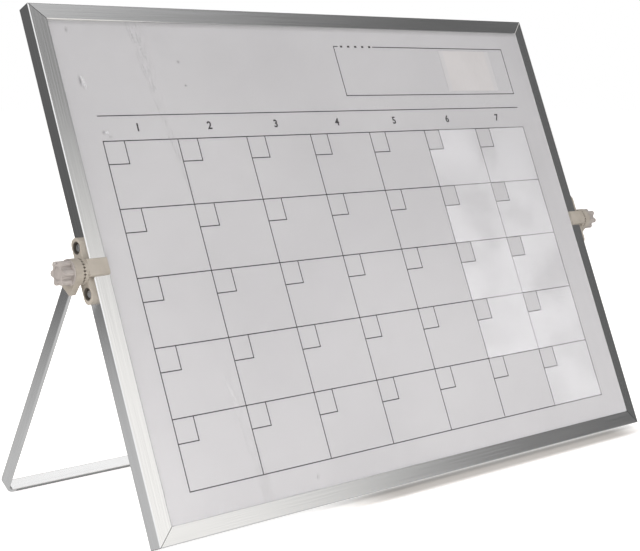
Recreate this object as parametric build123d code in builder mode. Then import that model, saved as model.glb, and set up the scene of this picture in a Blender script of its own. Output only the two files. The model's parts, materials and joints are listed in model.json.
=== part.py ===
from build123d import *
import os
from math import acos, atan2, cos, hypot, radians, sin

# A double-sided magnetic whiteboard, 400 x 300 mm, that hangs at mid-height between the arms
# of a U-shaped stand.  Toothed crowns and a star knob on each side hold it at its slope.
# Millimetres, +Z up, the writing side faces -Y, the origin is on the desk under the middle.

# ---- Panel -------------------------------------------------------------------------------
board_width = 400.0        # outside of the frame, along X
board_height = 300.0       # outside of the frame, up its slope
core_thickness = 8.8       # honeycomb board between the two steel sheets
sheet_thickness = 0.4
film_thickness = 0.12      # peel-off film over the writing side
film_margin = 0.3          # bare strip between the film and the lips
film_corner = 2.0
tab_width = 49.5           # pull tab stuck on the film
tab_height = 29.0
tab_thickness = 0.1
tab_from_side = 34.5       # tab to the film's right edge
tab_from_top = 14.15       # tab to the film's top edge

# ---- Frame rails -------------------------------------------------------------------------
face_width = 9.45          # sloping face, outer edge to lip
face_rise = 0.52           # the lip stands this much prouder than the outer edge
lip_thickness = 0.77       # lip edge, measured off the sheet
lip_radius = 0.25
edge_chamfer = 0.45        # bright edge where face and outer wall meet
wall_thickness = 1.1
skin_thickness = 1.05      # face over the key channel, at the outer wall
channel_width = 3.0        # closed channel that takes the corner keys
web_thickness = 1.0        # between the key channel and the panel groove
panel_clearance = 0.3      # panel edge to the floor of its groove
mitre_gap = 0.1
key_leg = 26.0
key_clearance = 0.06
key_chamfer = 1.2

# ---- Pivot: bolt, knob nut, washer -------------------------------------------------------
bolt_radius = 2.0
bolt_tip_chamfer = 0.4
head_flats = 7.0
head_height = 2.8
nut_height = 3.2
nut_setback = 0.1          # nut below the knob's inner face
bolt_past_nut = 1.2
thread_clearance = 0.05
pivot_clearance = 0.08     # bolt in the eye of the arm fitting
hex_clearance = 0.05
washer_radius = 4.4
washer_thickness = 0.8
washer_clearance = 0.1

# ---- Brackets on the side rails ----------------------------------------------------------
plate_length = 36.6
plate_thickness = 3.3
plate_front_setback = 1.4  # plate edge in from the edge of the rail's wall, writing side
plate_rear_setback = 0.15  # and rear
plate_corner = 4.0
plate_edge = 0.5
clip_height = 9.4          # block that reaches round the rail, up the slope
clip_proud = 1.63          # over the lip
clip_setback = 0.4         # end of the clip short of the lip
clip_clearance = 0.05
clip_edge = 0.7
boss_height = 2.3          # plate to tooth tips
screw_spacing = 25.4
screw_radius = 1.3
screw_length = 5.3
screw_clearance = 0.04
screw_head_radius = 2.1
screw_head_height = 1.3
screw_dome = 0.78          # rounding of the head's rim
screw_recess_radius = 3.1
screw_recess_depth = 2.0
cross_length = 2.5
cross_width = 0.7
cross_depth = 0.7

# ---- Toothed crowns ----------------------------------------------------------------------
tooth_count = 24
tooth_height = 0.85        # at the rim; the teeth taper to nothing on the axis
tooth_land = 0.16
crown_hollow = 3.6         # radius without teeth
crown_gap = 0.12           # tips apart, so that the stand turns freely
groove_overrun = 0.3       # a groove's cutter runs past the teeth by this much, each way

# ---- Stand -------------------------------------------------------------------------------
open_angle = 54.9          # board plane to arms
swing_room = 9.0           # board end to the inside of the stand's foot
strip_width = 8.4
strip_thickness = 2.0
strip_edge = 0.6
bend_radius = 5.5          # outside of the bend
strip_clearance = 0.05
eye_thickness = 5.28       # tooth tips to outer face
strip_inset = 1.4          # eye's outer face to the strip's outer face
strip_end = 3.5            # pivot axis to the end of the strip in its socket
socket_length = 11.8       # pivot axis to the mouth of the socket
socket_side = 1.0          # wall beside the strip's edges
socket_face = 0.95         # wall over the strip's faces
socket_shoulder = 0.4      # the socket is this much narrower than the eye, each side
socket_edge = 0.4
eye_edge = 0.3

# ---- Star knobs --------------------------------------------------------------------------
knob_gap = 0.1             # eye to knob
knob_length = 7.2
knob_root = 4.9
knob_radius = 7.0
lobe_count = 6
lobe_radius = 1.75
lobe_turn = 8.0            # first lobe past the line of the arm, in degrees
lobe_blend = 0.3
flange_thickness = 0.9
flange_radius = 7.1
knob_edge = 0.5
knob_bore_clearance = 0.3
knob_floor = 1.1           # closed end left past the bore
dish_radius = 4.0
button_radius = 3.1
dish_depth = 0.7
dish_crown = 0.35          # rise of the button in the middle of the dish

# ---- Worked out from the above -----------------------------------------------------------
half_width = board_width / 2
half_height = board_height / 2
panel_half = core_thickness / 2 + sheet_thickness
wall_half = panel_half + lip_thickness - face_rise
lip_half = panel_half + lip_thickness
channel_half = wall_half - skin_thickness
channel_middle = wall_thickness + channel_width / 2
groove_floor = wall_thickness + channel_width + web_thickness
panel_half_width = half_width - groove_floor - panel_clearance
panel_half_height = half_height - groove_floor - panel_clearance
film_half_width = half_width - face_width - film_margin
film_half_height = half_height - face_width - film_margin

clip_half = lip_half + clip_proud
clip_reach = face_width - clip_setback
crown_radius = clip_half
plate_width = 2 * wall_half - plate_front_setback - plate_rear_setback
plate_shift = (plate_rear_setback - plate_front_setback) / 2  # its middle, towards the front

# Stations along the pivot axis, each measured outwards from the rail's outer wall.
tips_at = plate_thickness + boss_height
eye_in = tips_at + crown_gap
eye_out = eye_in + eye_thickness
strip_out = eye_out - strip_inset
strip_in = strip_out - strip_thickness
washer_out = eye_out
washer_seat = washer_out - washer_thickness - washer_clearance
knob_in = eye_out + knob_gap
knob_out = knob_in + knob_length
nut_in = knob_in + nut_setback
nut_out = nut_in + nut_height
bolt_end = nut_out + bolt_past_nut
bore_end = knob_out - dish_depth - knob_floor

# The stand's arms reach past the end of the board, so the board can turn right over.
arm_reach = half_height + swing_room + strip_thickness

# Lean of the board.  In the board's own section, up the slope and off the writing side, the
# desk touches the frame's rear bottom edge and the round of the foot's front edge.
rest_up = -half_height
rest_out = -(wall_half - edge_chamfer)
foot_along = arm_reach - strip_edge
foot_across = strip_width / 2 - strip_edge
opening = radians(open_angle)
foot_up = -foot_along * cos(opening) - foot_across * sin(opening)
foot_out = -foot_along * sin(opening) + foot_across * cos(opening)
span_up = foot_up - rest_up
span_out = foot_out - rest_out
lean = atan2(span_out, span_up) + acos(strip_edge / hypot(span_up, span_out))
arm_angle = opening - lean

# Height of the pivot over the desk, and its place front to back with the origin in the middle
# of the whole length: from the frame's front bottom edge to the rear edge of the foot.
pivot_height = -(rest_up * cos(lean) + rest_out * sin(lean))
front_y = -(half_height - edge_chamfer) * sin(lean) - wall_half * cos(lean)
rear_y = foot_along * sin(arm_angle) + foot_across * cos(arm_angle) + strip_edge
pivot = Vector(0, -(front_y + rear_y) / 2, pivot_height)

# BOARD has x along the pivot axis, y up the slope and z out of the writing side.
# STAND has the same x, y up along the arms and z out of their front edges.
BOARD = Plane(pivot, x_dir=(1, 0, 0), z_dir=(0, -cos(lean), sin(lean)))
STAND = Plane(pivot, x_dir=(1, 0, 0), z_dir=(0, -cos(arm_angle), -sin(arm_angle)))
SIDES = {"left": -1, "right": 1}


def rail_face(inwards):
    """Half the depth of a rail at a distance in from its outer wall."""
    return wall_half + face_rise * inwards / face_width


def across(frame, side, station):
    """Plane square to the pivot axis: z points away from the board, x as the frame's y."""
    origin = frame.origin + frame.x_dir * side * (half_width + station)
    return Plane(origin, x_dir=frame.y_dir, z_dir=frame.x_dir * side)


def outermost(builder, frame, side):
    """The face of a part that lies furthest from the board along the pivot axis."""
    return builder.faces().sort_by(Axis(frame.origin, frame.x_dir * side))[-1]


# ---- Panel -------------------------------------------------------------------------------
def panel_layer(bottom, thickness):
    """One layer of the panel, as large as the floor of the rails' groove lets it be."""
    with BuildPart() as layer:
        with BuildSketch(BOARD.offset(bottom)):
            Rectangle(2 * panel_half_width, 2 * panel_half_height)
        extrude(amount=thickness)
    return layer


def protective_film():
    """Thin film on the writing side, just inside the lips of the frame."""
    with BuildPart() as film:
        with BuildSketch(BOARD.offset(panel_half)):
            RectangleRounded(2 * film_half_width, 2 * film_half_height, film_corner)
        extrude(amount=film_thickness)
    return film


def film_tab():
    """Plain pull tab stuck on the film near its top right corner."""
    with BuildPart() as tab:
        with BuildSketch(BOARD.offset(panel_half + film_thickness)):
            corner = (film_half_width - tab_from_side, film_half_height - tab_from_top)
            with Locations(corner):
                Rectangle(tab_width, tab_height, align=(Align.MAX, Align.MAX))
        extrude(amount=tab_thickness)
    return tab


# ---- Frame -------------------------------------------------------------------------------
def frame_rail(outwards, along, half_across, half_length, pilot_side=0):
    """Extruded rail with a key channel and a panel groove, mitred at both ends."""
    section = Plane(BOARD.origin + outwards * half_across, x_dir=-outwards, z_dir=along)
    with BuildPart() as rail:
        with BuildSketch(section) as profile:
            with BuildLine():
                Polyline(
                    (0, 0),
                    (0, wall_half - edge_chamfer),
                    (edge_chamfer, rail_face(edge_chamfer)),
                    (face_width, lip_half),
                    (face_width, panel_half),
                    (groove_floor, panel_half),
                    (groove_floor, 0),
                )
                mirror(about=Plane.XZ)
            make_face()
            with Locations((channel_middle, 0)):
                Rectangle(channel_width, 2 * channel_half, mode=Mode.SUBTRACT)
            lip_ends = profile.vertices().group_by(Axis.X)[-1].sort_by(Axis.Y)
            fillet([lip_ends[0], lip_ends[-1]], radius=lip_radius)
        extrude(amount=half_length, both=True)
        for end in (1, -1):
            corner = section.origin + along * end * (half_length - mitre_gap / 2)
            split(bisect_by=Plane(corner, z_dir=along * end - outwards), keep=Keep.BOTTOM)
        if pilot_side:
            with BuildSketch(across(BOARD, pilot_side, 0)):
                with Locations((screw_spacing / 2, 0), (-screw_spacing / 2, 0)):
                    Circle(screw_radius + screw_clearance)
            extrude(amount=-wall_thickness, mode=Mode.SUBTRACT)
    return rail


def corner_key(side, end):
    """L-shaped key inside the channels of two rails, at one corner of the frame."""
    arm = channel_width - 2 * key_clearance
    corner_x = side * (half_width - channel_middle)
    corner_y = end * (half_height - channel_middle)
    inset = (key_leg - arm) / 2
    with BuildPart() as key:
        with BuildSketch(BOARD) as outline:
            with Locations((corner_x - side * inset, corner_y)):
                Rectangle(key_leg, arm)
            with Locations((corner_x, corner_y - end * inset)):
                Rectangle(arm, key_leg)
            outer = outline.vertices().sort_by(Axis((0, 0, 0), (side, end, 0)))[-1]
            chamfer(outer, length=key_chamfer)
        extrude(amount=channel_half - key_clearance, both=True)
    return key


# ---- Toothed crowns ----------------------------------------------------------------------
def tooth_groove():
    """Radial V groove, point down along +X: width and depth grow in step with the radius."""
    half_pitch = radians(180 / tooth_count)
    with BuildPart() as groove:
        for radius in (crown_hollow - groove_overrun, crown_radius + groove_overrun):
            half_mouth = radius * half_pitch - tooth_land / 2
            slope = tooth_height / (crown_radius * half_pitch - tooth_land / 2)
            with BuildSketch(Plane.YZ.offset(radius)):
                with BuildLine():
                    Polyline(
                        (0, -half_mouth * slope),
                        (half_mouth + groove_overrun / slope, groove_overrun),
                        (-half_mouth - groove_overrun / slope, groove_overrun),
                        close=True,
                    )
                make_face()
        loft(ruled=True)
    return groove.part


def crown_cutter():
    """Everything a crown lacks below the plane of its tooth tips, made once for all four."""
    groove = tooth_groove()
    with BuildPart() as cutter:
        with BuildSketch():
            Circle(crown_hollow)
        extrude(amount=-tooth_height)
        with PolarLocations(0, tooth_count):
            add(groove)
    return cutter.part


crown_grooves = crown_cutter()


# ---- Brackets ----------------------------------------------------------------------------
def bracket(side):
    """Moulded bracket: screwed plate, clip round the rail and the boss with the crown."""
    wall = across(BOARD, side, 0)
    rail_cut = Plane(wall.origin, x_dir=-wall.z_dir, z_dir=wall.x_dir * side)
    with BuildPart() as body:
        with BuildSketch(wall):
            with Locations((0, plate_shift * side)):
                RectangleRounded(plate_length, plate_width, plate_corner)
        extrude(amount=plate_thickness)
        fillet(outermost(body, BOARD, side).edges(), radius=plate_edge)
        with BuildSketch(across(BOARD, side, -clip_reach)):
            RectangleRounded(clip_height, 2 * clip_half, clip_edge)
        extrude(amount=clip_reach + plate_thickness)
        with BuildSketch(across(BOARD, side, plate_thickness)):
            Circle(crown_radius)
        extrude(amount=boss_height)
        with BuildSketch(rail_cut):
            with BuildLine():
                Polyline(
                    (0, 0),
                    (0, wall_half + clip_clearance),
                    (face_width, lip_half + clip_clearance),
                    (face_width, 0),
                )
                mirror(about=Plane.XZ)
            make_face()
        extrude(amount=clip_height, both=True, mode=Mode.SUBTRACT)
        with Locations(across(BOARD, side, tips_at)):
            add(crown_grooves, mode=Mode.SUBTRACT)
        with BuildSketch(wall):
            RegularPolygon(head_flats / 2 + hex_clearance, 6, major_radius=False)
        extrude(amount=head_height + hex_clearance, mode=Mode.SUBTRACT)
        with BuildSketch(wall):
            Circle(bolt_radius + thread_clearance)
        extrude(amount=tips_at, mode=Mode.SUBTRACT)
        with Locations(across(BOARD, side, plate_thickness)):
            with Locations((screw_spacing / 2, 0), (-screw_spacing / 2, 0)):
                CounterBoreHole(
                    radius=screw_radius + screw_clearance,
                    counter_bore_radius=screw_recess_radius,
                    counter_bore_depth=screw_recess_depth,
                    depth=plate_thickness,
                )
    return body


def bracket_screws(side):
    """The two domed cross-head screws of one bracket."""
    seat = plate_thickness - screw_recess_depth
    places = [(screw_spacing / 2, 0), (-screw_spacing / 2, 0)]
    with BuildPart() as screws:
        with BuildSketch(across(BOARD, side, seat)):
            with Locations(*places):
                Circle(screw_head_radius)
        extrude(amount=screw_head_height)
        tops = screws.faces().group_by(Axis(BOARD.origin, BOARD.x_dir * side))[-1]
        fillet(tops.edges(), radius=screw_dome)
        with BuildSketch(across(BOARD, side, seat)):
            with Locations(*places):
                Circle(screw_radius)
        extrude(amount=-screw_length)
        with BuildSketch(across(BOARD, side, seat + screw_head_height)):
            with Locations(*places):
                Rectangle(cross_length, cross_width)
                Rectangle(cross_width, cross_length)
        extrude(amount=-cross_depth, mode=Mode.SUBTRACT)
    return screws


def pivot_bolt(side):
    """Hexagon bolt: head trapped between the rail and the bracket, thread in the knob nut."""
    with BuildPart() as bolt:
        with BuildSketch(across(BOARD, side, hex_clearance / 2)):
            RegularPolygon(head_flats / 2, 6, major_radius=False)
        extrude(amount=head_height)
        with BuildSketch(across(BOARD, side, hex_clearance / 2)):
            Circle(bolt_radius)
        extrude(amount=bolt_end - hex_clearance / 2)
        chamfer(outermost(bolt, BOARD, side).edges(), length=bolt_tip_chamfer)
    return bolt


# ---- Stand -------------------------------------------------------------------------------
def stand_strip():
    """Flat bar bent to a U: an arm down each side of the board and a foot behind it."""
    middle = half_width + (strip_in + strip_out) / 2
    foot = -(arm_reach - strip_thickness / 2)
    bend = bend_radius - strip_thickness / 2
    with BuildPart() as strip:
        with BuildLine(STAND) as path:
            FilletPolyline(
                (middle, -strip_end), (middle, foot), (-middle, foot), (-middle, -strip_end),
                radius=bend,
            )
        start = Plane(path.line @ 0, x_dir=STAND.z_dir, z_dir=path.line % 0)
        with BuildSketch(start):
            RectangleRounded(strip_width, strip_thickness, strip_edge)
        sweep()
    return strip


def arm_fitting(side):
    """Moulded end of an arm: an eye with a crown on the bolt, and a socket for the strip."""
    socket_half = strip_width / 2 + strip_clearance + socket_side
    root_half = crown_radius - socket_shoulder
    eye = across(STAND, side, eye_in)
    with BuildPart() as fitting:
        with BuildSketch(across(STAND, side, strip_in - strip_clearance - socket_face)):
            with BuildLine():
                Polyline(
                    (0, -root_half), (-socket_length, -socket_half),
                    (-socket_length, socket_half), (0, root_half), close=True,
                )
            make_face()
        extrude(amount=strip_thickness + 2 * (strip_clearance + socket_face))
        end_face = fitting.faces().sort_by(Axis(STAND.origin, -STAND.y_dir))[-1]
        fillet(end_face.edges(), radius=socket_edge)
        with BuildSketch(eye):
            Circle(crown_radius)
        extrude(amount=eye_thickness)
        fillet(outermost(fitting, STAND, side).edges(), radius=eye_edge)
        with BuildSketch(across(STAND, side, strip_in - strip_clearance)):
            with Locations((-(strip_end - strip_clearance), 0)):
                Rectangle(
                    socket_length, strip_width + 2 * strip_clearance,
                    align=(Align.MAX, Align.CENTER),
                )
        extrude(amount=strip_thickness + 2 * strip_clearance, mode=Mode.SUBTRACT)
        with BuildSketch(across(STAND, side, washer_seat)):
            Circle(washer_radius + washer_clearance)
        extrude(amount=washer_thickness + 2 * washer_clearance, mode=Mode.SUBTRACT)
        with Locations(Plane(eye.origin, x_dir=BOARD.y_dir, z_dir=-eye.z_dir)):
            add(crown_grooves, mode=Mode.SUBTRACT)
        with BuildSketch(eye):
            Circle(bolt_radius + pivot_clearance)
        extrude(amount=eye_thickness, mode=Mode.SUBTRACT)
    return fitting


# ---- Knobs -------------------------------------------------------------------------------
def lock_washer(side):
    """Flat washer that the knob presses into the recess of the eye."""
    with BuildPart() as washer:
        with BuildSketch(across(STAND, side, washer_out - washer_thickness)):
            Circle(washer_radius)
            Circle(bolt_radius + pivot_clearance, mode=Mode.SUBTRACT)
        extrude(amount=washer_thickness)
    return washer


def knob_nut(side):
    """Hexagon nut seated in the knob's inner face."""
    with BuildPart() as nut:
        with BuildSketch(across(STAND, side, nut_in)):
            RegularPolygon(head_flats / 2, 6, major_radius=False)
            Circle(bolt_radius + thread_clearance, mode=Mode.SUBTRACT)
        extrude(amount=nut_height)
    return nut


def star_knob(side):
    """Lobed knob with a thin flange, a pocket for its nut and a dish with a button."""
    button_sphere = (button_radius**2 + dish_crown**2) / (2 * dish_crown)
    section = Plane(
        across(STAND, side, knob_out).origin, x_dir=STAND.z_dir, z_dir=STAND.y_dir * side
    )
    with BuildPart() as knob:
        with BuildSketch(across(STAND, side, knob_in)) as lobes:
            Circle(knob_root)
            with PolarLocations(knob_radius - lobe_radius, lobe_count, start_angle=lobe_turn):
                Circle(lobe_radius)
            fillet(lobes.vertices(), radius=lobe_blend)
        extrude(amount=knob_length)
        fillet(outermost(knob, STAND, side).edges(), radius=knob_edge)
        with BuildSketch(across(STAND, side, knob_in)):
            Circle(flange_radius)
        extrude(amount=flange_thickness)
        with BuildSketch(section):
            with BuildLine():
                Polyline(
                    (0, dish_crown - dish_depth), (0, knob_edge), (dish_radius, knob_edge),
                    (dish_radius, 0), (button_radius, -dish_depth),
                )
                RadiusArc((button_radius, -dish_depth), (0, dish_crown - dish_depth), -button_sphere)
            make_face()
        revolve(axis=Axis(STAND.origin, STAND.x_dir), mode=Mode.SUBTRACT)
        with BuildSketch(across(STAND, side, knob_in)):
            RegularPolygon(head_flats / 2 + hex_clearance, 6, major_radius=False)
        extrude(amount=nut_out - knob_in + hex_clearance, mode=Mode.SUBTRACT)
        with BuildSketch(across(STAND, side, knob_in)):
            Circle(bolt_radius + knob_bore_clearance)
        extrude(amount=bore_end - knob_in, mode=Mode.SUBTRACT)
    return knob


pieces = {
    "core_board": panel_layer(-core_thickness / 2, core_thickness),
    "front_sheet": panel_layer(core_thickness / 2, sheet_thickness),
    "back_sheet": panel_layer(-panel_half, sheet_thickness),
    "protective_film": protective_film(),
    "film_tab": film_tab(),
    "top_rail": frame_rail(BOARD.y_dir, BOARD.x_dir, half_height, half_width),
    "bottom_rail": frame_rail(-BOARD.y_dir, BOARD.x_dir, half_height, half_width),
    "stand_strip": stand_strip(),
}
for name, side in SIDES.items():
    pieces[f"{name}_rail"] = frame_rail(BOARD.x_dir * side, BOARD.y_dir, half_width, half_height, side)
    pieces[f"top_{name}_corner_key"] = corner_key(side, 1)
    pieces[f"bottom_{name}_corner_key"] = corner_key(side, -1)
    pieces[f"{name}_bracket"] = bracket(side)
    pieces[f"{name}_bracket_screws"] = bracket_screws(side)
    pieces[f"{name}_pivot_bolt"] = pivot_bolt(side)
    pieces[f"{name}_arm_fitting"] = arm_fitting(side)
    pieces[f"{name}_washer"] = lock_washer(side)
    pieces[f"{name}_knob_nut"] = knob_nut(side)
    pieces[f"{name}_knob"] = star_knob(side)

os.makedirs("parts", exist_ok=True)
for name, piece in pieces.items():
    piece.part.label = name
    export_step(piece.part, f"parts/{name}.step")
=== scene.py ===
import json
from math import atan2, radians

import bpy
import numpy as np
from mathutils import Matrix, Vector


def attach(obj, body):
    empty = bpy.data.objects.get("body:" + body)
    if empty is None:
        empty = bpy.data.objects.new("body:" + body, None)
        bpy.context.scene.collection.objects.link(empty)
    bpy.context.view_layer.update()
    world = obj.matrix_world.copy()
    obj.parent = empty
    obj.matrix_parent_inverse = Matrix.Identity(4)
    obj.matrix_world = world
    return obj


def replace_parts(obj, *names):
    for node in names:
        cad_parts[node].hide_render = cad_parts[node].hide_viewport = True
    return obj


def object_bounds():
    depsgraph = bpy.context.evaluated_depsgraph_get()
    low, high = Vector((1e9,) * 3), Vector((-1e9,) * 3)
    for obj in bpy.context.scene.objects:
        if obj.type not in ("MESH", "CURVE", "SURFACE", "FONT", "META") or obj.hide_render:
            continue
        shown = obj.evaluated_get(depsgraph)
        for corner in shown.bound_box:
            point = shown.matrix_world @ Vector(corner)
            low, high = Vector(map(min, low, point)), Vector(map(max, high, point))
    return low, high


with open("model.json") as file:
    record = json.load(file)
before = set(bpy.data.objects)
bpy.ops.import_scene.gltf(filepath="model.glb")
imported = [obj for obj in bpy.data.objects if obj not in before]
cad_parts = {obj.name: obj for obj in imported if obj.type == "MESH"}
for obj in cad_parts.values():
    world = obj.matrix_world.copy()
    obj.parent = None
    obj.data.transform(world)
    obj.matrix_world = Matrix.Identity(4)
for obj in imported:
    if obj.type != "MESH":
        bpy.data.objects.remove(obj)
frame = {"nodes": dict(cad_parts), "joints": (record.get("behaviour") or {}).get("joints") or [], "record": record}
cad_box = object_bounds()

# A framed whiteboard that hangs between the arms of a bar stand.  The board has axes of its
# own: right, up the slope, and out of the writing side, counted in millimetres from the middle
# of the panel on the pivot axis.  Everything is built in those and turned to metres at the end.
MM = 0.001
nodes = frame["nodes"]
joints = {joint["name"]: joint for joint in frame["joints"]}
mounts = {mount["name"]: mount for mount in frame["record"]["mounts"]}
SIDES = ("left", "right")

pivot = Vector(joints["stand_pivot"]["pos_m"])
out_of_board = Vector(mounts["front_writing_face"]["axis"])
up_board = out_of_board.cross(Vector((1, 0, 0)))
BOARD_AXES = np.array([(1, 0, 0), up_board, out_of_board])
BOARD_TURN = atan2(up_board.z, up_board.y)
SHEET = (Vector(mounts["front_writing_face"]["pos_m"]) - pivot).dot(out_of_board) / MM


def on_board(points):
    """Board coordinates in millimetres, one point a row, turned to metres in the row frame."""
    return np.array(pivot) + (np.asarray(points, float) * MM) @ BOARD_AXES


def board_box(node):
    """Lowest and highest corner of a node in board coordinates, in millimetres."""
    mesh = nodes[node].data
    points = np.empty(len(mesh.vertices) * 3, np.float32)
    mesh.vertices.foreach_get("co", points)
    local = (points.reshape(-1, 3) - np.array(pivot)) @ BOARD_AXES.T / MM
    return local.min(axis=0), local.max(axis=0)


# ---- Shader building ---------------------------------------------------------------------
class Channel:
    """A number that varies over a surface; arithmetic on it adds Math nodes."""

    def __init__(self, shader, socket):
        self.shader = shader
        self.socket = socket

    def math(self, operation, first, second=None, clamp=False):
        """A Math node on one or two values."""
        values = {0: first} if second is None else {0: first, 1: second}
        settings = {"operation": operation, "use_clamp": clamp}
        node = self.shader.node("ShaderNodeMath", settings, values)
        return Channel(self.shader, node.outputs[0])

    def __add__(self, other):
        return self.math("ADD", self, other)

    def __sub__(self, other):
        return self.math("SUBTRACT", self, other)

    def __rsub__(self, other):
        return self.math("SUBTRACT", other, self)

    def __mul__(self, other):
        return self.math("MULTIPLY", self, other)

    def __abs__(self):
        return self.math("ABSOLUTE", self)

    __radd__ = __add__
    __rmul__ = __mul__

    def root(self):
        """The square root of the value."""
        return self.math("SQRT", self)

    def clamped(self):
        """The value held between nought and one."""
        return self.math("ADD", self, 0.0, clamp=True)

    def above(self, threshold):
        """One where the value is more than the threshold, nought elsewhere."""
        return self.math("GREATER_THAN", self, threshold)

    def wrapped(self, period):
        """The value's remainder after whole periods."""
        return self.math("FLOORED_MODULO", self, period)

    def ramp(self, low, high):
        """A smooth step from nought at low to one at high."""
        node = self.shader.node(
            "ShaderNodeMapRange",
            {"interpolation_type": "SMOOTHSTEP"},
            {"Value": self, "From Min": low, "From Max": high},
        )
        return Channel(self.shader, node.outputs["Result"])


class Shader:
    """A node tree under construction."""

    def __init__(self, tree):
        self.tree = tree
        self.tree.nodes.clear()

    def node(self, kind, settings=None, sockets=None):
        """A node of this type, its settings first, then the values or links of its sockets."""
        made = self.tree.nodes.new(kind)
        for name, value in (settings or {}).items():
            setattr(made, name, value)
        for name, value in (sockets or {}).items():
            self.feed(made.inputs[name], value)
        return made

    def feed(self, socket, value):
        """Link a channel or a socket, or set a plain value."""
        if isinstance(value, Channel):
            value = value.socket
        if isinstance(value, bpy.types.NodeSocket):
            self.tree.links.new(value, socket)
        elif socket.type == "RGBA" and len(value) == 3:
            socket.default_value = (*value, 1.0)
        else:
            socket.default_value = value

    def blend(self, mask, first, second):
        """Colour that goes from the first to the second as the mask goes from nought to one."""
        mixed = self.node("ShaderNodeMix", {"data_type": "RGBA"}, {0: mask, 6: first, 7: second})
        return mixed.outputs[2]

    def parts(self, vector):
        """The three components of a vector, as channels."""
        split = self.node("ShaderNodeSeparateXYZ", sockets={"Vector": vector})
        return [Channel(self, output) for output in split.outputs]


class Finish(Shader):
    """A procedural material on one Principled surface."""

    def __init__(self, name, **constants):
        self.material = bpy.data.materials.new(name)
        self.material.use_nodes = True
        super().__init__(self.material.node_tree)
        self.surface = self.node("ShaderNodeBsdfPrincipled", sockets=constants)
        self.node("ShaderNodeOutputMaterial", sockets={"Surface": self.surface.outputs["BSDF"]})

    def shade(self, **inputs):
        """Feed what varies into the surface; an underscore in a name stands for a space."""
        for name, value in inputs.items():
            self.feed(self.surface.inputs[name.replace("_", " ")], value)

    def place(self, turn=0.0, centre=(0, 0, 0)):
        """Object coordinates in metres from a centre, in axes turned about X by an angle."""
        rotation = Matrix.Rotation(-turn, 3, "X")
        mapping = self.node(
            "ShaderNodeMapping",
            {"vector_type": "POINT"},
            {
                "Vector": self.node("ShaderNodeTexCoord").outputs["Object"],
                "Location": tuple(-(rotation @ Vector(centre))),
                "Rotation": (-turn, 0, 0),
            },
        )
        return mapping.outputs["Vector"]

    def stretched(self, vector, scale):
        """A vector with each component multiplied by a scale of its own."""
        settings = {"operation": "MULTIPLY"}
        return self.node("ShaderNodeVectorMath", settings, {0: vector, 1: scale}).outputs[0]

    def noise(self, vector, per_metre, detail=2.0, roughness=0.5):
        """Smooth noise, with so many features to the metre along each axis."""
        node = self.node(
            "ShaderNodeTexNoise",
            sockets={
                "Vector": self.stretched(vector, per_metre),
                "Scale": 1.0,
                "Detail": detail,
                "Roughness": roughness,
            },
        )
        return Channel(self, node.outputs["Factor" if "Factor" in node.outputs else "Fac"])

    def dimple(self, height, strength, distance):
        """Normals tipped by a height that varies over the surface."""
        sockets = {"Height": height, "Strength": strength, "Distance": distance}
        self.shade(Normal=self.node("ShaderNodeBump", sockets=sockets).outputs["Normal"])


# ---- Finishes ----------------------------------------------------------------------------
def brushed_rail(name, grain):
    """Satin metal with fine lines: noise stretched along the grain sets tone, gloss and height.
    Dirt lines the mitres, but for the upper right one, which carries a painted highlight, pale and not metal, as
    does the left part of the upper lip's rim."""
    finish = Finish(name, Metallic=1.0)
    place = finish.place(BOARD_TURN, pivot)
    lines = finish.noise(place, grain, detail=3.0, roughness=0.65)
    broad = finish.noise(place, (9, 9, 9), detail=1.0)
    tone = (lines * 0.75 + broad * 0.25).ramp(0.3, 0.7)
    x, up, _ = finish.parts(place)
    from_mitre = (HALF_WIDTH * MM - abs(x)) - (HALF_HEIGHT * MM - abs(up))
    joint = 1 - abs(from_mitre).ramp(0.12 * MM, 0.45 * MM)
    painted_lit_mitre = joint * x.above(0) * up.above(0)
    # The left part of the upper lip's rim and the upper right mitre get a painted highlight: pale, and not metal.
    past_rim = (up - LIP * MM).ramp(RIM_WIDTH * MM, (RIM_WIDTH + RIM_BLUR) * MM)
    rim = up.above(0) * from_mitre.above(0) * (1 - past_rim)
    painted_highlight = (painted_lit_mitre + rim * (1 - x.ramp(RIM_FULL * MM, RIM_END * MM))).clamped()
    dirt = (joint - painted_lit_mitre) * 0.75
    soiled = finish.blend(dirt, finish.blend(tone, SATIN_DARK, SATIN_LIGHT), JOINT_DIRT)
    finish.shade(
        Base_Color=finish.blend(painted_highlight, soiled, PAINTED_HIGHLIGHT_TONE),
        Metallic=1 - painted_highlight,
        Roughness=lines * 0.08 + broad * 0.04 + 0.14,
    )
    finish.dimple(lines, 0.2, 0.02 * MM)
    return finish.material


def strip_metal(turn):
    """Drawn bar: lines run along the arms, and across the object on the foot, whose narrow edges are painted
    darker, as painted shade."""
    finish = Finish("strip_aluminium", Metallic=1.0)
    place = finish.place(turn, pivot)
    along_arm = finish.noise(place, (1800, 16, 1800), detail=3.0, roughness=0.6)
    along_foot = finish.noise(place, (16, 1800, 1800), detail=3.0, roughness=0.6)
    x, _, out = finish.parts(place)
    on_arm = abs(x).above(STRIP_INSIDE * MM)
    shaded_foot_edge = abs(out).above((STRIP_HALF_WIDTH - EDGE_ROUND) * MM) * (1 - on_arm)
    lines = on_arm * along_arm + (1 - on_arm) * along_foot
    wear = finish.noise(place, (60, 60, 60), detail=4.0, roughness=0.7)
    tone = (lines * 0.7 + wear * 0.3).ramp(0.3, 0.7)
    bright = finish.blend(tone, (0.88, 0.88, 0.88), (0.985, 0.985, 0.985))
    finish.shade(
        # The foot's narrow edges are painted darker: painted shade.
        Base_Color=finish.blend(shaded_foot_edge, bright, (0.45, 0.45, 0.45)),
        Roughness=lines * 0.1 + wear * 0.06 + 0.16,
    )
    finish.dimple(lines, 0.12, 0.02 * MM)
    return finish.material


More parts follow.
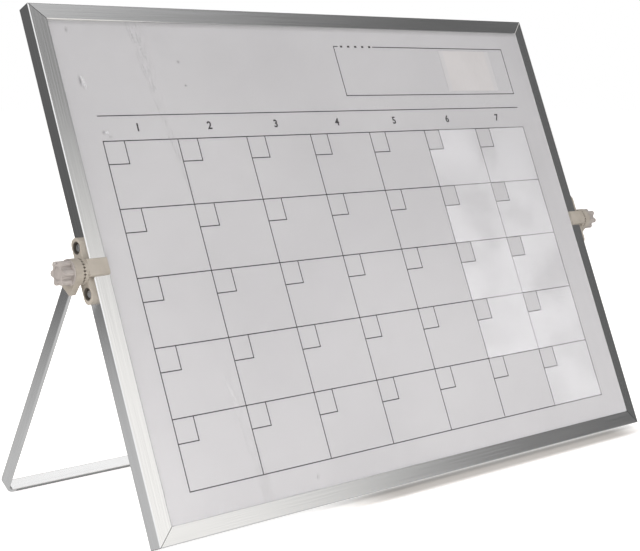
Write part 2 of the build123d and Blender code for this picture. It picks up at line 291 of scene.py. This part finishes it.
def enamel(name, tone, shade_tone):
    """Gloss white enamel: a faint cloud in the colour, and a ripple like orange peel, with a painted shadow that
    makes it greyer in a narrow band under the upper lip."""
    finish = Finish(name, **{"Coat Roughness": 0.12, "Coat IOR": 1.5})
    place = finish.place(BOARD_TURN, pivot)
    cloud = finish.noise(place, (7, 7, 7), detail=2.0)
    ripple = finish.noise(place, (260, 260, 260), detail=2.0)
    # A painted shadow greys the enamel in a band under the upper lip, on the front and the back sheet.
    lip_shadow = finish.parts(place)[1].ramp((LIP - LIP_SHADOW_END) * MM, (LIP - LIP_SHADOW_FULL) * MM)
    clean = finish.blend(cloud.ramp(0.35, 0.65), shade_tone, tone)
    finish.shade(
        Base_Color=finish.blend(lip_shadow, clean, tuple(part * 0.8 for part in tone)),
        Roughness=cloud * 0.1 + ripple * 0.05 + 0.3,
        Coat_Weight=ripple * 0.1 + 0.3,
    )
    finish.dimple(ripple, 0.12, 0.02 * MM)
    return finish.material


def clear_film():
    """Thin clear film: nearly unseen, with a painted highlight on one flank of each fold and blister and painted
    shade on the other, and a painted sheen, a pale reflection, inside some cells of the grid, where it has lifted."""
    finish = Finish("film", IOR=1.45)
    place = finish.place(BOARD_TURN, pivot)
    x, up, _ = finish.parts(place)
    marks = finish.node("ShaderNodeAttribute", {"attribute_name": "slope"})
    slope = Channel(finish, marks.outputs["Fac"])
    cloud = finish.noise(place, (22, 28, 22), detail=1.0, roughness=0.5)
    wisps = finish.noise(place, (75, 110, 75), detail=3.0, roughness=0.6)
    # Painted sheen: a pale reflection painted into the film in the cells of the last columns.
    painted_sheen = inside_cell(x, up) * (cloud * 0.85 + wisps * 0.15).ramp(0.1, 0.62)
    fold = abs(slope)
    plain = finish.blend(painted_sheen, (0.585, 0.579, 0.602), (0.945, 0.945, 0.975))
    # Painted highlight on the rising flank of a fold or blister, and painted shade on the falling one.
    flank = finish.blend(slope.ramp(-0.4, 0.4), (0.26, 0.25, 0.27), (0.98, 0.97, 0.99))
    finish.shade(
        Base_Color=finish.blend(fold.ramp(0.0, 0.25), plain, flank),
        Roughness=cloud * 0.12 + 0.16,
        Alpha=(painted_sheen * 0.19 + fold * 0.52 + wisps * 0.03 + 0.02).clamped(),
    )
    finish.dimple(cloud + wisps * 0.2, 0.06, 0.3 * MM)
    return finish.material


def inside_cell(x, up):
    """One in the cells of the grid that carry the film's painted sheen, clear of the small box in each one's top
    left corner: the last columns, but for the lowest cell of the first of them."""
    right = x - SHEEN_LEFT * MM
    down = GRID_TOP * MM - up
    past_box = right.wrapped(CELL_WIDTH * MM).above(DATE_BOX_WIDTH * MM)
    below_box = down.wrapped(CELL_HEIGHT * MM).above(DATE_BOX_HEIGHT * MM)
    last_column = right.above(CELL_WIDTH * MM)
    above_last_row = 1 - down.above((ROWS - 1) * CELL_HEIGHT * MM)
    within = right.above(0.0) * (GRID_RIGHT * MM - x).above(0.0) * down.above(0.0)
    above_bottom = (up - GRID_BOTTOM * MM).above(0.0)
    clear_of_box = (past_box + below_box).clamped()
    sheen_columns = (last_column + above_last_row).clamped()
    return clear_of_box * sheen_columns * within * above_bottom


def printed_ink():
    """Flat dark grey ink, a little uneven as screen printing is."""
    finish = Finish("print_ink")
    place = finish.place(BOARD_TURN, pivot)
    specks = finish.noise(place, (900, 900, 900), detail=2.0)
    worn = specks.ramp(0.3, 0.75)
    finish.shade(
        Base_Color=finish.blend(worn, (0.020, 0.017, 0.021), (0.045, 0.040, 0.047)),
        Roughness=specks * 0.2 + 0.4,
    )
    return finish.material


def label_paper():
    """Pale label: faint fibres and a slightly warmer cloud, clearer along its upright sides."""
    finish = Finish("tab_paper")
    place = finish.place(BOARD_TURN, pivot)
    fibres = finish.noise(place, (1500, 260, 900), detail=3.0, roughness=0.6)
    cloud = finish.noise(place, (45, 45, 45), detail=2.0)
    tone = (fibres * 0.4 + cloud * 0.6).ramp(0.35, 0.65)
    from_side = abs(finish.parts(place)[0] - TAB_MIDDLE * MM)
    clear_side = from_side.ramp((TAB_HALF_WIDTH - 5.0) * MM, (TAB_HALF_WIDTH - 3.0) * MM)
    paper = finish.blend(tone, (0.595, 0.577, 0.586), (0.628, 0.608, 0.618))
    finish.shade(
        Base_Color=finish.blend(clear_side * 0.8, paper, (0.580, 0.572, 0.592)),
        Roughness=fibres * 0.2 + 0.45,
    )
    finish.dimple(fibres, 0.15, 0.02 * MM)
    return finish.material


def moulded_plastic(name, shadow, tone, roughness, recess_shade=None):
    """Moulded plastic: slow flow marks in the colour and a fine matt grain.  The last argument, if any, is a
    function of the finish that tells where shade is painted into recesses and grooves."""
    finish = Finish(name, IOR=1.49)
    place = finish.place()
    flow = finish.noise(place, (90, 90, 90), detail=3.0, roughness=0.55)
    grain = finish.noise(place, (4200, 4200, 4200), detail=2.0)
    colour = finish.blend(flow.ramp(0.3, 0.7), shadow, tone)
    if recess_shade:
        # Painted shade in recesses and grooves.
        colour = finish.blend(recess_shade(finish), colour, tuple(part * 0.3 for part in shadow))
    finish.shade(Base_Color=colour, Roughness=grain * 0.16 + flow * 0.06 + (roughness - 0.1))
    finish.dimple(grain, 0.3, 0.03 * MM)
    return finish.material


def ring(first, second, radius, half_width):
    """One on a circle about the point where two coordinates are nought, nought off it."""
    distance = (first * first + second * second).root()
    return 1 - abs(distance - radius * MM).ramp(half_width * 0.6 * MM, half_width * MM)


def round_screws(finish):
    """Painted shade in the recesses round the heads of a bracket's screws."""
    _, up, out = finish.parts(finish.place(BOARD_TURN, pivot))
    return ring(abs(up) - SCREW_UP * MM, out - SCREW_OUT * MM, 2.95, 0.7)


def round_button(finish):
    """Painted shade in the groove round the button in a knob's end."""
    x, y, z = finish.parts(finish.place(0, pivot))
    return ring(y, z, 3.55, 0.5) * abs(x).above((KNOB_END - 0.75) * MM) * 0.3


def turned_metal(name, dark, light, roughness):
    """Plated or turned small hardware: cloudy plating with tiny pits."""
    finish = Finish(name, Metallic=1.0)
    place = finish.place()
    plating = finish.noise(place, (700, 700, 700), detail=3.0, roughness=0.6)
    pits = finish.noise(place, (5200, 5200, 5200), detail=1.0)
    finish.shade(
        Base_Color=finish.blend(plating.ramp(0.3, 0.7), dark, light),
        Roughness=plating * 0.15 + pits * 0.06 + (roughness - 0.08),
    )
    finish.dimple(pits, 0.15, 0.02 * MM)
    return finish.material


def honeycomb_board():
    """Brown paper honeycomb: cell walls show as lines on the cut edge."""
    finish = Finish("core")
    place = finish.place(BOARD_TURN, pivot)
    cells = finish.node(
        "ShaderNodeTexVoronoi",
        {"feature": "DISTANCE_TO_EDGE"},
        {"Vector": finish.stretched(place, (120, 120, 20)), "Scale": 1.0},
    )
    wall = 1 - Channel(finish, cells.outputs["Distance"]).ramp(0.02, 0.1)
    fibres = finish.noise(place, (600, 600, 600), detail=3.0)
    tone = (wall * 0.6 + fibres * 0.4).clamped()
    finish.shade(
        Base_Color=finish.blend(tone, (0.33, 0.24, 0.15), (0.52, 0.41, 0.28)),
        Roughness=fibres * 0.2 + 0.75,
    )
    finish.dimple(wall, 0.4, 0.1 * MM)
    return finish.material


# ---- Sizes taken from the frame ----------------------------------------------------------
HALF_WIDTH = board_box("right_rail")[1][0]
HALF_HEIGHT = board_box("top_rail")[1][1]
film_high = board_box("protective_film")[1]
FILM_HALF_WIDTH, FILM_HALF_HEIGHT = film_high[0], film_high[1]
FILM_FACE = film_high[2]
LIP = FILM_HALF_HEIGHT + 0.3       # inner rim of the upper lip
LIP_SHADOW_FULL = 1.0            # the painted shadow under the upper lip is full down to here
LIP_SHADOW_END = 3.4             # and gone by here
tab_low, tab_high = board_box("film_tab")
TAB_MIDDLE = (tab_low[0] + tab_high[0]) / 2
TAB_HALF_WIDTH = (tab_high[0] - tab_low[0]) / 2
FOOT_TOP = 20.0            # the strip's vertices below this level belong to its foot
STRIP_HALF_WIDTH = 4.2
EDGE_ROUND = 0.25          # depth of the strip's rounded edge that looks like its narrow side
STRIP_INSIDE = -(board_box("left_rail")[0][0] + board_box("left_bracket")[0][0]) / 2

screws_low, screws_high = board_box("left_bracket_screws")
SCREW_HEAD_RADIUS = (screws_high[2] - screws_low[2]) / 2
SCREW_OUT = (screws_low[2] + screws_high[2]) / 2
SCREW_UP = screws_high[1] - SCREW_HEAD_RADIUS
KNOB_END = -board_box("left_knob")[0][0]

# ---- Print on the writing side -----------------------------------------------------------
INK_SUNK = 0.01            # the print starts this far inside the enamel
INK_THICKNESS = 0.02
LINE_WIDTH = 0.62
COLUMNS = 7
ROWS = 5
GRID_LEFT = -174.2
GRID_TOP = 69.6
CELL_WIDTH = 49.256
CELL_HEIGHT = 39.02
GRID_RIGHT = GRID_LEFT + COLUMNS * CELL_WIDTH
GRID_BOTTOM = GRID_TOP - ROWS * CELL_HEIGHT
# left edge of the cells with the film's painted sheen
SHEEN_LEFT = GRID_LEFT + 5 * CELL_WIDTH
DATE_BOX_WIDTH = 13.5
DATE_BOX_HEIGHT = 13.4
HEADER_UP = 84.3           # line over the column numbers
HEADER_LEFT = -173.8
HEADER_RIGHT = 170.3
NUMBER_UP = 77.0
NUMBER_HEIGHT = 4.6
NUMBER_WEIGHT = 0.2        # strokes made this much fatter, each side
NUMBER_SHIFT = -0.1        # numbers stand this far from the middle of their column
NOTES_LEFT = 12.4
NOTES_RIGHT = 170.9
NOTES_TOP = 128.0
NOTES_BOTTOM = 94.6
NOTES_GAP_LEFT = 17.0      # the top line of the notes box is broken here
NOTES_GAP_RIGHT = 46.4
DOT_COUNT = 5
DOT_SIZE = 1.3

# ---- Film --------------------------------------------------------------------------------
FILM_GAP = 0.01            # print to the underside of the film
FILM_CORNER = 2.0
FOLD_HEIGHTS = (-140.0, -117.0, -98.0, -74.0, 33.0, 81.0, 141.0)
FOLD_PLACES = (-125.0, -126.3, -129.5, -132.5, -123.9, -130.3, -135.1)
FOLD_TALL = 0.08           # how far the film stands out at a fold, and at a blister and a dent
BLISTER_TALL = 0.16
DENT_DEEP = 0.03
RIDGE_WIDTH = 0.42
RIDGES = (                 # offset from the middle of the fold, and weight
    (-5.0, 0.5), (-3.6, 0.9), (-2.0, 0.6), (-0.7, 1.0),
    (0.8, 0.9), (2.1, 0.7), (3.4, 0.5), (4.6, 0.3),
)
BLISTERS = (               # middle across and up, half widths across and up, height
    (-178.3, 104.9, 1.1, 2.6, 1.0),
    (-177.2, 101.5, 0.7, 1.6, 0.6),
    (-171.3, 74.6, 1.3, 0.9, 0.8),
    (-168.6, 72.2, 0.7, 0.8, 0.5),
    (-111.1, 116.4, 0.8, 0.8, -0.7),
    (-110.0, 101.8, 0.6, 0.6, -0.9),
    (-180.2, 134.8, 0.9, 0.8, -0.5),
    (-88.5, -133.3, 0.6, 0.7, 0.7),
)
FINE_ACROSS = (            # where the film's columns stand close: from, to, apart
    (-143.0, -119.0, 0.25), (-184.0, -164.0, 0.5), (-113.0, -108.0, 0.4), (-91.0, -86.0, 0.5),
)
COARSE_ACROSS = 10.0
FINE_UP = ((70.0, 78.0, 0.5), (99.0, 109.0, 0.5), (114.0, 119.0, 0.5))
COARSE_UP = (-138.0, 138.0, 2.2)


def smooth_step(values, low, high):
    """Nought below low, one above high, and the cubic 3t^2 - 2t^3 between them."""
    t = np.clip((values - low) / (high - low), 0.0, 1.0)
    return t * t * (3 - 2 * t)


def mesh_piece(name, points, quads, material, body, smooth=False):
    """A mesh object from an array of points in metres and an array of quads."""
    mesh = bpy.data.meshes.new(name)
    mesh.from_pydata(points.tolist(), [], quads.tolist())
    mesh.materials.append(material)
    mesh.polygons.foreach_set("use_smooth", np.full(len(quads), smooth))
    piece = bpy.data.objects.new(name, mesh)
    bpy.context.scene.collection.objects.link(piece)
    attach(piece, body)
    return piece


def sheet_quads(rows, columns):
    """Quads of a closed sheet: its front grid, its back grid turned round, and the rim walls.
    The front's points come first, row by row upwards, and then the back's in the same order."""
    index = np.arange(rows * columns).reshape(rows, columns)
    corners = (index[:-1, :-1], index[:-1, 1:], index[1:, 1:], index[1:, :-1])
    front = np.stack(corners, axis=-1).reshape(-1, 4)
    rim = np.concatenate([index[0, :-1], index[:-1, -1], index[-1, :0:-1], index[:0:-1, 0]])
    ahead = np.roll(rim, -1)
    walls = np.stack([rim, rim + index.size, ahead + index.size, ahead], axis=-1)
    return np.concatenate([front, front[:, ::-1] + index.size, walls])


BOX_FACES = np.array(
    [[3, 2, 1, 0], [4, 5, 6, 7], [0, 1, 5, 4], [1, 2, 6, 5], [2, 3, 7, 6], [3, 0, 4, 7]]
)


def ribbons(segments, width, low, high):
    """Boxes along straight segments (x, up, x, up): each is the segment lengthened and widened
    by half the width on every side, between the low and the high level out of the board."""
    segments = np.asarray(segments, float)
    start, end = segments[:, :2], segments[:, 2:]
    along = (end - start) / np.linalg.norm(end - start, axis=1, keepdims=True) * width / 2
    beside = np.stack([-along[:, 1], along[:, 0]], axis=1)
    near, far = start - along, end + along
    outline = np.stack([near - beside, far - beside, far + beside, near + beside], axis=1)
    points = np.empty((len(outline), 2, 4, 3))
    points[..., :2] = outline[:, None]
    points[..., 2] = [[low], [high]]
    quads = (np.arange(len(outline))[:, None, None] * 8 + BOX_FACES).reshape(-1, 4)
    return points.reshape(-1, 3), quads


def calendar_lines():
    """Segments of the grid, the box in each cell's corner, the header line and the notes box."""
    xs = GRID_LEFT + CELL_WIDTH * np.arange(COLUMNS + 1)
    ups = GRID_TOP - CELL_HEIGHT * np.arange(ROWS + 1)
    lines = [(x, GRID_BOTTOM, x, GRID_TOP) for x in xs]
    lines += [(GRID_LEFT, up, GRID_RIGHT, up) for up in ups]
    for up in ups[:-1]:
        for x in xs[:-1]:
            box_right, box_low = x + DATE_BOX_WIDTH, up - DATE_BOX_HEIGHT
            lines += [(box_right, up, box_right, box_low), (x, box_low, box_right, box_low)]
    lines.append((HEADER_LEFT, HEADER_UP, HEADER_RIGHT, HEADER_UP))
    lines += [
        (NOTES_GAP_RIGHT, NOTES_TOP, NOTES_RIGHT, NOTES_TOP),
        (NOTES_RIGHT, NOTES_TOP, NOTES_RIGHT, NOTES_BOTTOM),
        (NOTES_RIGHT, NOTES_BOTTOM, NOTES_LEFT, NOTES_BOTTOM),
        (NOTES_LEFT, NOTES_BOTTOM, NOTES_LEFT, NOTES_TOP),
        (NOTES_LEFT, NOTES_TOP, NOTES_GAP_LEFT - DOT_SIZE, NOTES_TOP),
    ]
    return lines


def column_numbers(material):
    """Plain numbers over the columns, one mesh: each is set as text, made a mesh, and moved."""
    points, faces, count = [], [], 0
    for column in range(COLUMNS):
        text = bpy.data.curves.new("number", "FONT")
        text.body = str(column + 1)
        text.size = NUMBER_HEIGHT / 0.7
        text.align_x = "CENTER"
        text.align_y = "CENTER"
        text.extrude = INK_THICKNESS / 2
        text.resolution_u = 6
        text.offset = NUMBER_WEIGHT
        holder = bpy.data.objects.new("number", text)
        mesh = bpy.data.meshes.new_from_object(holder)
        flat = np.empty(len(mesh.vertices) * 3, np.float32)
        mesh.vertices.foreach_get("co", flat)
        middle = GRID_LEFT + (column + 0.5) * CELL_WIDTH + NUMBER_SHIFT
        level = SHEET + INK_THICKNESS / 2
        points.append(flat.reshape(-1, 3) + (middle, NUMBER_UP, level))
        faces += [[count + corner for corner in face.vertices] for face in mesh.polygons]
        count += len(mesh.vertices)
        bpy.data.objects.remove(holder)
        bpy.data.curves.remove(text)
        bpy.data.meshes.remove(mesh)
    mesh = bpy.data.meshes.new("column_numbers")
    mesh.from_pydata(on_board(np.concatenate(points)).tolist(), [], faces)
    mesh.materials.append(material)
    piece = bpy.data.objects.new("column_numbers", mesh)
    bpy.context.scene.collection.objects.link(piece)
    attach(piece, "board")
    return piece


def bells(distance, width):
    """A bell exp(-(d/w)^2) and its slope, scaled so that the steepest flank is one."""
    ratio = distance / width
    bell = np.exp(-(ratio**2))
    return bell, 2.33 * ratio * bell


def long_fold(x, up):
    """Height and slope of the film's long fold: sharp ridges that fan out towards both ends.
    Each is a bell across the fold, stronger and weaker by turns, and all fade in the middle.
    In the lower half the slope is made positive, so that both flanks there get the painted highlight."""
    middle = np.interp(up, FOLD_HEIGHTS, FOLD_PLACES)
    strength = 0.3 * smooth_step(up, 20, 60) + 0.7 * smooth_step(up, 78, 112)
    strength = strength + 0.7 * smooth_step(-up, 58, 84)
    spread = 0.25 + 0.75 * smooth_step(up, 60, 140) + 0.4 * smooth_step(-up, 70, 130)
    height, slope = np.zeros_like(x), np.zeros_like(x)
    for offset, weight in RIDGES:
        shiver = 0.22 * np.sin(up * 0.31 + offset * 5) + 0.1 * np.sin(up * 0.9 + offset * 3)
        swell = 0.6 + 0.4 * np.sin(up * 0.17 + offset * 4) * np.sin(up * 0.45 + offset * 9)
        bell, flank = bells(x - middle - spread * offset - shiver, RIDGE_WIDTH)
        height += strength * weight * swell * bell
        slope += strength * weight * swell * flank
    return height, np.where(up < 0, 0.7 * np.abs(slope), slope)


def blisters(x, up):
    """Height and slope of small air blisters and dust pimples: bells, some longer one way."""
    height, slope = np.zeros_like(x), np.zeros_like(x)
    for middle, level, across, along, tall in BLISTERS:
        bell, flank = bells(x - middle, across)
        fall = np.exp(-(((up - level) / along) ** 2))
        height += tall * bell * fall
        # A dent's slope is its own depth, so the whole dent takes the painted shade.
        slope += (tall * flank if tall > 0 else tall * bell) * fall
    return height, slope


def stops(spans):
    """Every place of spans that each run from one end to the other in even steps."""
    return np.concatenate([np.arange(*span) for span in spans])


def protective_film(material):
    """The film as a closed sheet with rounded corners: every row of points is as wide as the
    outline is there, and the front stands out by the folds and blisters."""
    coarse = (-FILM_HALF_WIDTH, FILM_HALF_WIDTH, COARSE_ACROSS)
    xs = np.unique(np.append(stops((coarse, *FINE_ACROSS)), FILM_HALF_WIDTH))
    turn = np.linspace(0.0, 1.0, 7)
    corner_ups = FILM_HALF_HEIGHT - FILM_CORNER * (1 - np.sin(turn * np.pi / 2))
    ups = np.unique(np.concatenate([stops((COARSE_UP, *FINE_UP)), corner_ups, -corner_ups]))
    past = np.clip(np.abs(ups) - (FILM_HALF_HEIGHT - FILM_CORNER), 0.0, FILM_CORNER)
    half = FILM_HALF_WIDTH - FILM_CORNER + np.sqrt(FILM_CORNER**2 - past**2)
    x = xs[None, :] * (half / FILM_HALF_WIDTH)[:, None]
    up = np.broadcast_to(ups[:, None], x.shape)
    fold, fold_slope = long_fold(x, up)
    blister, blister_slope = blisters(x, up)
    front = FILM_FACE + FOLD_TALL * fold
    front = front + BLISTER_TALL * np.maximum(blister, 0.0) + DENT_DEEP * np.minimum(blister, 0.0)
    back = np.full_like(x, SHEET + INK_THICKNESS + FILM_GAP)
    sides = [np.stack([x, up, level], axis=-1).reshape(-1, 3) for level in (front, back)]
    points = on_board(np.concatenate(sides))
    quads = sheet_quads(*x.shape)
    piece = mesh_piece("peel_off_film", points, quads, material, "board", smooth=True)
    piece.visible_shadow = False
    slope = np.clip(fold_slope + blister_slope, -1.0, 1.0).ravel()
    slopes = np.concatenate([slope, np.zeros_like(slope)]).astype(np.float32)
    piece.data.attributes.new("slope", "FLOAT", "POINT").data.foreach_set("value", slopes)
    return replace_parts(piece, "protective_film")


# ---- Put the object together -------------------------------------------------------------
strip_points = [vertex.co for vertex in nodes["stand_strip"].data.vertices]
foot = np.array([point for point in strip_points if point.z < FOOT_TOP * MM]).mean(axis=0)
arm = pivot - Vector(foot)
ARM_TURN = atan2(arm.z, arm.y)

JOINT_DIRT = (0.10, 0.10, 0.10)
# pale colour of the painted highlight on the rails
PAINTED_HIGHLIGHT_TONE = (0.80, 0.79, 0.78)
RIM_WIDTH = 0.4
RIM_BLUR = 0.3
RIM_FULL = -185.0                  # the painted highlight on the rim fades out between these places across
RIM_END = -95.0
SATIN_DARK = (0.85, 0.85, 0.853)
SATIN_LIGHT = (0.975, 0.975, 0.98)
across_rails = brushed_rail("frame_aluminium_across", (14, 1900, 1900))
upright_rails = brushed_rail("frame_aluminium_upright", (1900, 14, 1900))
IVORY = (0.375, 0.336, 0.290), (0.446, 0.406, 0.360)
PINKISH = (0.365, 0.330, 0.314), (0.436, 0.398, 0.382)
fitting_ivory = moulded_plastic("fitting_ivory", *IVORY, 0.5)
bracket_ivory = moulded_plastic("bracket_ivory", *IVORY, 0.5, round_screws)
knob_pink = moulded_plastic("knob_plastic", *PINKISH, 0.34, round_button)
plated = turned_metal("plated_steel", (0.70, 0.70, 0.71), (0.92, 0.92, 0.92), 0.42)
brass = turned_metal("brass", (0.55, 0.40, 0.16), (0.78, 0.60, 0.28), 0.3)
key_steel = turned_metal("key_steel", (0.42, 0.42, 0.43), (0.58, 0.58, 0.60), 0.4)
ink = printed_ink()

finishes = {
    "core_board": honeycomb_board(),
    "front_sheet": enamel("front_enamel", (0.585, 0.579, 0.602), (0.551, 0.545, 0.568)),
    "back_sheet": enamel("back_enamel", (0.76, 0.76, 0.76), (0.72, 0.72, 0.72)),
    "film_tab": label_paper(),
    "top_rail": across_rails,
    "bottom_rail": across_rails,
    "stand_strip": strip_metal(ARM_TURN),
}
for side in SIDES:
    finishes[f"{side}_rail"] = upright_rails
    finishes[f"top_{side}_corner_key"] = key_steel
    finishes[f"bottom_{side}_corner_key"] = key_steel
    finishes[f"{side}_bracket"] = bracket_ivory
    finishes[f"{side}_arm_fitting"] = fitting_ivory
    finishes[f"{side}_bracket_screws"] = plated
    finishes[f"{side}_pivot_bolt"] = plated
    finishes[f"{side}_washer"] = plated
    finishes[f"{side}_knob_nut"] = brass
    finishes[f"{side}_knob"] = knob_pink
for node, material in finishes.items():
    if nodes[node].material_slots:
        nodes[node].material_slots[0].material = material
    else:
        nodes[node].data.materials.append(material)

nodes["film_tab"].visible_shadow = False
protective_film(clear_film())
points, quads = ribbons(calendar_lines(), LINE_WIDTH, SHEET - INK_SUNK, SHEET + INK_THICKNESS)
mesh_piece("calendar_lines", on_board(points), quads, ink, "board")
column_numbers(ink)
dot_middles = np.linspace(NOTES_GAP_LEFT + 2, NOTES_GAP_RIGHT - 3, DOT_COUNT)
dots = [(x - DOT_SIZE / 4, NOTES_TOP, x + DOT_SIZE / 4, NOTES_TOP) for x in dot_middles]
points, quads = ribbons(dots, DOT_SIZE, SHEET - INK_SUNK, SHEET + INK_THICKNESS)
mesh_piece("notes_dots", on_board(points), quads, ink, "board")

# ---- Floor, light and camera -------------------------------------------------------------
def ray_kinds(shader):
    """Camera and transmission rays as one channel, and glossy rays as another."""
    path = shader.node("ShaderNodeLightPath")
    kinds = ("Camera", "Transmission", "Glossy")
    camera, through, glossy = (Channel(shader, path.outputs[f"Is {kind} Ray"]) for kind in kinds)
    return (camera + through).clamped(), glossy


def studio_floor():
    """A wide pale floor that shows white, less a part of the light that the object takes away. A painted shadow
    darkens it under the right part of the bottom rail.
    In metal it shows pale close to the object and falls off into the dark of the room."""
    mesh = bpy.data.meshes.new("floor")
    corners = [(-FLOOR_REACH, -FLOOR_REACH), (FLOOR_REACH, -FLOOR_REACH)]
    corners += [(FLOOR_REACH, FLOOR_REACH), (-FLOOR_REACH, FLOOR_REACH)]
    mesh.from_pydata([(x, y, 0) for x, y in corners], [], [(0, 1, 2, 3)])
    floor = bpy.data.objects.new("floor", mesh)
    bpy.context.scene.collection.objects.link(floor)
    material = bpy.data.materials.new("floor")
    material.use_nodes = True
    shader = Shader(material.node_tree)
    direct, glossy = ray_kinds(shader)
    place = shader.node("ShaderNodeTexCoord").outputs["Object"]
    distance = shader.node("ShaderNodeVectorMath", {"operation": "LENGTH"}, {0: place})
    far = Channel(shader, distance.outputs["Value"]).ramp(0.22, 1.05)
    lit = shader.node("ShaderNodeBsdfDiffuse", sockets={"Color": (0.82, 0.80, 0.77)})
    along, ahead, _ = shader.parts(place)
    # Painted shadow: the floor's colour and glow drop in a band under the bottom rail's right part.
    painted_rail_shadow = 1 - abs(ahead - RAIL_SHADOW_Y).ramp(*SHADOW_WIDTH)
    painted_rail_shadow = painted_rail_shadow * along.ramp(*SHADOW_START) * (1 - along.ramp(*SHADOW_END))
    tone = shader.blend(painted_rail_shadow, (0.98, 0.96, 0.94), (0.52, 0.49, 0.465))
    paint = shader.node("ShaderNodeBsdfDiffuse", sockets={"Color": tone})
    glow = shader.node("ShaderNodeEmission", sockets={"Strength": 0.62 - painted_rail_shadow * 0.52})
    shown = shader.node("ShaderNodeAddShader", sockets={0: paint.outputs[0], 1: glow.outputs[0]})
    mirrored = shader.node("ShaderNodeEmission", sockets={"Strength": 0.53 - far * 0.42})
    seen = shader.node(
        "ShaderNodeMixShader", sockets={0: direct, 1: lit.outputs[0], 2: shown.outputs[0]}
    )
    whole = shader.node(
        "ShaderNodeMixShader", sockets={0: glossy, 1: seen.outputs[0], 2: mirrored.outputs[0]}
    )
    shader.node("ShaderNodeOutputMaterial", sockets={"Surface": whole.outputs[0]})
    mesh.materials.append(material)


def compass(azimuth, elevation):
    """Unit vector at an azimuth right of the front and an elevation over the floor, in degrees."""
    turn, rise = radians(azimuth), radians(elevation)
    return (np.sin(turn) * np.cos(rise), -np.cos(turn) * np.cos(rise), np.sin(rise))


def studio_world():
    """White to the camera.  Metal sees windows at the front, at the left and overhead in a dim
    room, which gives each rail its run from light to dark."""
    world = bpy.data.worlds.new("studio")
    world.use_nodes = True
    bpy.context.scene.world = world
    shader = Shader(world.node_tree)
    sight = shader.node("ShaderNodeTexCoord").outputs["Generated"]

    def window(azimuth, elevation, inner, outer, strength):
        """A round patch of sky: full inside the inner angle, nought past the outer."""
        sockets = {0: sight, 1: compass(azimuth, elevation)}
        dot = shader.node("ShaderNodeVectorMath", {"operation": "DOT_PRODUCT"}, sockets)
        facing = Channel(shader, dot.outputs["Value"])
        return facing.ramp(np.cos(radians(outer)), np.cos(radians(inner))) * strength

    windows = [window(*row) for row in WINDOWS]
    direct, glossy = ray_kinds(shader)
    ambient = (1 - (direct + glossy).clamped()) * AMBIENT
    mirrored = (sum(windows[1:], windows[0]) + ROOM).clamped()
    strength = direct + glossy * mirrored + ambient
    tint = shader.blend((windows[0] * glossy).clamped(), (1, 1, 1), (1.0, 0.985, 0.955))
    sky = shader.node("ShaderNodeBackground", sockets={"Color": tint, "Strength": strength})
    shader.node("ShaderNodeOutputWorld", sockets={"Surface": sky.outputs[0]})


def softbox(name, azimuth, elevation, distance, size, power):
    """Square soft lamp that looks at the pivot from so many metres off."""
    lamp = bpy.data.lights.new(name, "AREA")
    lamp.shape = "SQUARE"
    lamp.size = size
    lamp.energy = power
    lamp.color = (1.0, 0.985, 0.96)
    holder = bpy.data.objects.new(name, lamp)
    bpy.context.scene.collection.objects.link(holder)
    away = Vector(compass(azimuth, elevation))
    holder.location = pivot + away * distance
    holder.rotation_euler = away.to_track_quat("Z", "Y").to_euler()
    holder.visible_glossy = False


AMBIENT = 0.43
ROOM = 0.12                # what metal sees between the windows
WINDOWS = (                # azimuth, elevation, inner and outer angle, strength; the first is warm
    (15.8, 14, 8.7, 32.5, 1.3),
    (54.5, 62.5, 9.6, 25, 0.65),
    (-66, 22, 22, 44, 1),
    (101, 52, 13, 24, 1),
)
LAMPS = (                  # name, azimuth, elevation, distance, size, power
    ("key", -35, 50, 1.8, 1.2, 10.2),
    ("fill", 40, 35, 2.0, 1.4, 3.3),
    ("high_fill", 30, 50, 0.35, 0.1, 0.08),
    ("side", -98, 20, 1.0, 0.6, 3.5),
    ("rear", 160, 35, 1.8, 1.2, 9),
    ("table_glow_-60", -60, -15, 0.35, 0.1, 0.155),
    ("table_glow_0", 0, -15, 0.35, 0.1, 0.14),
    ("table_glow_20", 20, -15, 0.35, 0.1, 0.11),
    ("table_glow_40", 40, -15, 0.35, 0.1, 0.09),
)
FLOOR_REACH = 6.0
RAIL_SHADOW_Y = cad_box[0][1]        # the deepest of the painted shadow under the bottom rail
SHADOW_WIDTH = (0.004, 0.014)        # it fades out this far before and behind, in metres
SHADOW_START = (-0.11, -0.03)        # and at its ends between these places across
SHADOW_END = (0.17, 0.215)
studio_floor()
studio_world()
for lamp in LAMPS:
    softbox(*lamp)

# The camera, in board coordinates.
EYE = (-580.512, -151.513, 616.439)
LOOK_RIGHT = (0.752376, -0.256004, 0.606953)
LOOK_UP = (0.106992, 0.956650, 0.270874)
LENS = 77.93
SHIFT = (-0.01273, 0.04782)
lens = bpy.data.cameras.new("camera")
lens.lens = LENS
lens.sensor_width = 36.0
lens.shift_x, lens.shift_y = SHIFT
lens.clip_start = 0.01
camera = bpy.data.objects.new("camera", lens)
bpy.context.scene.collection.objects.link(camera)
axes = np.array([LOOK_RIGHT, LOOK_UP, np.cross(LOOK_RIGHT, LOOK_UP)]) @ BOARD_AXES
camera.matrix_world = Matrix.Translation(Vector(on_board(EYE))) @ Matrix(axes.T.tolist()).to_4x4()
bpy.context.scene.camera = camera
bpy.context.scene.view_settings.view_transform = "Standard"
